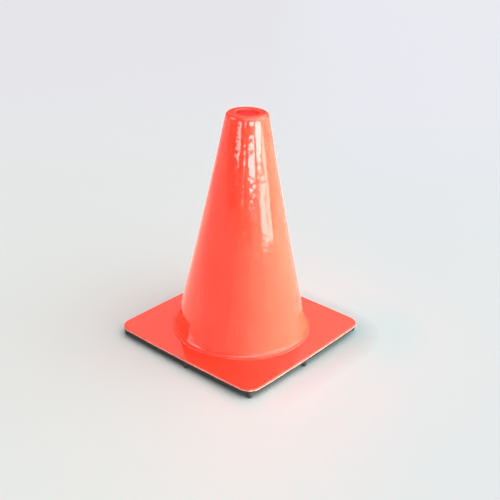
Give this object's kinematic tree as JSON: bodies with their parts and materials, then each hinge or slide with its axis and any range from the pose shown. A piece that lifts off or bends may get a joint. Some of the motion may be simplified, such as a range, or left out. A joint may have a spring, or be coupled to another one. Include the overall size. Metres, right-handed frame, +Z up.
{
  "type": "traffic cone",
  "caption": "Small glossy orange traffic cone, open at the top and hollow below, on a square flange with a black weight layer and round feet.",
  "frame": {"origin": "on the floor under the cone's axis, at the bottom of the feet", "axes": "+Z up the cone's axis; the flange's sides lie along X and Y"},
  "size_m": [0.234, 0.234, 0.305],
  "materials": {
    "orange_pvc": "smooth glossy soft PVC, red-orange",
    "black_pvc": "matt black recycled PVC"
  },
  "bodies": {
    "root": {"cone_body": "orange_pvc", "base_skin": "orange_pvc", "base_core": "black_pvc", "foot_corner_1": "black_pvc", "foot_corner_2": "black_pvc", "foot_corner_3": "black_pvc", "foot_corner_4": "black_pvc", "foot_side_1": "black_pvc", "foot_side_2": "black_pvc", "foot_side_3": "black_pvc", "foot_side_4": "black_pvc"}
  },
  "joints": []
}
